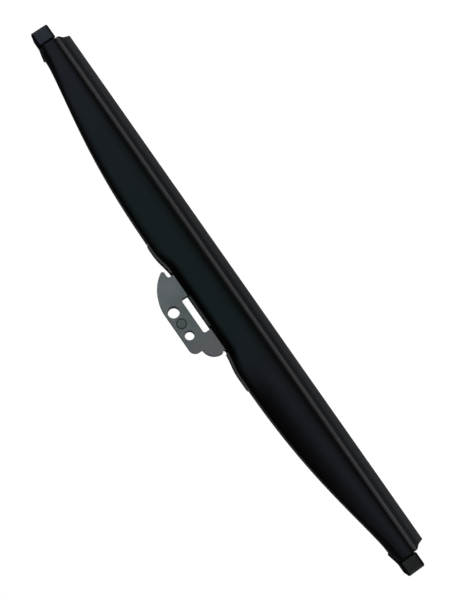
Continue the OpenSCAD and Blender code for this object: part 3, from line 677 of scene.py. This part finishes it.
def bandRubber(finish, look):
    # painted light: the lip is paler towards its tip, with a ragged edge to the pale, and the shoulder's
    # strip is paler than the wedge
    tree, s = finish["tree"], rubberSize
    shift, lineFade = look["raggedShift"] * mm, look["lineFade"]
    height = axis(tree, finish["source"], "Z")
    ragged = noise(tree, finish["vector"], look["raggedSize"], look["raggedDetail"], look["raggedRoughness"])
    shifted = combine(tree, "ADD", height, spread(tree, ragged, *look["raggedRange"], -shift, shift))
    lip = spread(tree, shifted, s["tipZ"] * mm, (s["wedgeZ"] + look["lipOver"]) * mm)
    inLip = spread(tree, shifted, *[(s["wedgeZ"] + past) * mm for past in look["lipFade"]], 1.0, 0.0)
    colour = mixColour(tree, inLip, finish["colour"], ramp(tree, lip, look["lipTints"]))
    inStrip = spread(tree, height, *[(s["shoulderZ"] + past) * mm for past in look["stripFade"]])
    paintedLitStrip = mixColour(tree, ragged, look["paintedLitStrip"], look["stripDark"])
    # painted shade: above the fine line the strip lies in the boot's shade
    shade = spread(tree, height, (lineZ - lineFade) * mm, (lineZ + lineFade) * mm, 1.0, look["stripShade"])
    setColour(finish, mixColour(tree, inStrip, colour, scaleColour(tree, paintedLitStrip, shade)))


def ringRivet(finish, look):
    # a dark line round the riveted end of the hook pin, and painted light: the bracket is paler towards the
    # fin
    tree, fade = finish["tree"], look["ringFade"]
    x, z = axis(tree, finish["source"], "X"), axis(tree, finish["source"], "Z")
    squares = combine(tree, "ADD", combine(tree, "MULTIPLY", x, x), combine(tree, "MULTIPLY", z, z))
    distance = combine(tree, "SQRT", squares)
    rising = spread(tree, distance, (look["ringIn"] - fade) * mm, look["ringIn"] * mm)
    falling = spread(tree, distance, look["ringOut"] * mm, (look["ringOut"] + fade) * mm, 1.0, 0.0)
    colour = tinted(finish, mixColour(tree, rising, look["pinShade"], tintAlong(finish, look)))
    ring = combine(tree, "MULTIPLY", rising, falling)
    setColour(finish, mixColour(tree, ring, colour, look["ringColour"]))


paintShadeAndHighlight(bootFinish, bootLook)
paintEdgeShade(capFinish, capLook)
bandRubber(rubberFinish, rubberLook)
ringRivet(bracketFinish, bracketLook)

for piece in (bootRight, bootLeft):
    paint(piece, bootFinish)
for piece in (rubberRight, rubberLeft):
    paint(piece, rubberFinish)
for piece in rails.values():
    paint(piece, springFinish)

nodeFinishes = {
    "boot": bootFinish, "wiping_rubber": rubberFinish, "rail_front": springFinish, "rail_back": springFinish,
    "primary_lever": leverFinish, "yoke_left": leverFinish, "yoke_right": leverFinish,
    "connector_bracket": bracketFinish, "hook_pin": bracketFinish,
    "end_cap_left": capFinish, "end_cap_right": capFinish,
}
for name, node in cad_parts.items():
    if name in nodeFinishes:
        paint(node, nodeFinishes[name])
    elif "rivet" in name:
        paint(node, steelFinish)
    else:
        paint(node, bearingFinish)
print("finishes set on", len(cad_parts), "nodes")


# Floor, light and camera: a white room, with lamps far to the sides so that black rubber stays black.

stageSize = {
    "floorZ": -0.2, "floorHalf": 4.0, "floorColour": (0.93, 0.93, 0.93),  # metres
    "floorSpecular": 0.1, "floorRoughness": 0.9, "floorGlow": 0.9, "floorGloss": 0.02,
    "worldGloss": 0.03, "ambient": 0.12,
}
lampSize = {  # metres and watts
    "key": {"place": (1.15, -0.85, -0.10), "side": 0.7, "power": 17.0},
    "fill": {"place": (-1.15, -0.85, -0.10), "side": 0.7, "power": 17.0},
    "backKey": {"place": (1.15, 0.85, 0.05), "side": 0.7, "power": 9.0},
    "backFill": {"place": (-1.15, 0.85, 0.05), "side": 0.7, "power": 9.0},
    "top": {"place": (-0.1, 0.0, 1.3), "side": 1.0, "power": 2.0},
}
cameraSize = {
    "place": (-0.0434, -0.6, 0.0262), "clip": (0.05, 20.0),    # metres
    "lens": 67.6, "sensor": 36.0,                               # millimetres
    "slope": 55.222, "turn": (-6.08, -1.898, 0.002),            # degrees
}
white = (1, 1, 1, 1)


def seen(tree, path, glossLevel):
    # 1 for what the camera sees, also through glass, and less for what gloss shows
    direct = combine(tree, "MAXIMUM", path.outputs["Is Camera Ray"], path.outputs["Is Transmission Ray"])
    gloss = combine(tree, "MULTIPLY", path.outputs["Is Glossy Ray"], glossLevel)
    return combine(tree, "MAXIMUM", direct, gloss)


def makeFloor():
    s = stageSize
    bm = bmesh.new()
    bmesh.ops.create_grid(bm, x_segments=2, y_segments=2, size=s["floorHalf"])
    bmesh.ops.translate(bm, vec=(0, 0, s["floorZ"]), verts=bm.verts)
    floor = meshObject("floor", bm)
    material, tree, shader = newMaterial("paleFloor", {"specular": s["floorSpecular"]})
    shader.inputs["Base Color"].default_value = (*s["floorColour"], 1)
    shader.inputs["Roughness"].default_value = s["floorRoughness"]
    shader.inputs["Emission Color"].default_value = white
    shown = seen(tree, tree.nodes.new("ShaderNodeLightPath"), s["floorGloss"])
    glow = combine(tree, "MULTIPLY", shown, s["floorGlow"])
    tree.links.new(glow, shader.inputs["Emission Strength"])
    floor.data.materials.append(material)


def makeWorld():
    # white to the eye, dim in reflections, and a soft light on the object
    s = stageSize
    world = bpy.data.worlds.new("studio")
    bpy.context.scene.world = world
    world.use_nodes = True
    tree = world.node_tree
    tree.nodes.clear()
    output = tree.nodes.new("ShaderNodeOutputWorld")
    background = tree.nodes.new("ShaderNodeBackground")
    background.inputs["Color"].default_value = white
    tree.links.new(background.outputs["Background"], output.inputs["Surface"])
    path = tree.nodes.new("ShaderNodeLightPath")
    soft = combine(tree, "MULTIPLY", path.outputs["Is Diffuse Ray"], s["ambient"])
    strength = combine(tree, "MAXIMUM", seen(tree, path, s["worldGloss"]), soft)
    tree.links.new(strength, background.inputs["Strength"])


def makeLamp(name, place, side, power):
    lamp = bpy.data.lights.new(name, "AREA")
    lamp.shape, lamp.size, lamp.energy = "SQUARE", side, power
    holder = bpy.data.objects.new(name, lamp)
    bpy.context.scene.collection.objects.link(holder)
    holder.location = place
    holder.rotation_euler = (-Vector(place)).to_track_quat("-Z", "Y").to_euler()
    holder.visible_camera = False


def makeCamera():
    s = cameraSize
    camera = bpy.data.cameras.new("camera")
    camera.lens, camera.sensor_width = s["lens"], s["sensor"]
    camera.clip_start, camera.clip_end = s["clip"]
    holder = bpy.data.objects.new("camera", camera)
    bpy.context.scene.collection.objects.link(holder)
    # the blade rises to the left in the picture by slope, then small turns about the frame's axes
    slope = math.radians(s["slope"])
    right = Vector((-math.cos(slope), 0, -math.sin(slope)))
    down = Vector((-math.sin(slope), 0, math.cos(slope)))
    ahead = Vector((0, 1, 0))
    turn = Vector([math.radians(a) for a in s["turn"]])
    rows = Matrix.Rotation(turn.length, 3, turn.normalized()) @ Matrix((right, down, ahead))
    basis = Matrix((rows[0], -rows[1], -rows[2])).transposed()
    holder.matrix_world = Matrix.Translation(s["place"]) @ basis.to_4x4()
    bpy.context.scene.camera = holder


makeFloor()
makeWorld()
for lampName, lamp in lampSize.items():
    makeLamp(lampName, lamp["place"], lamp["side"], lamp["power"])
makeCamera()
bpy.context.scene.view_settings.view_transform = "Standard"
print("stage, light and camera set")
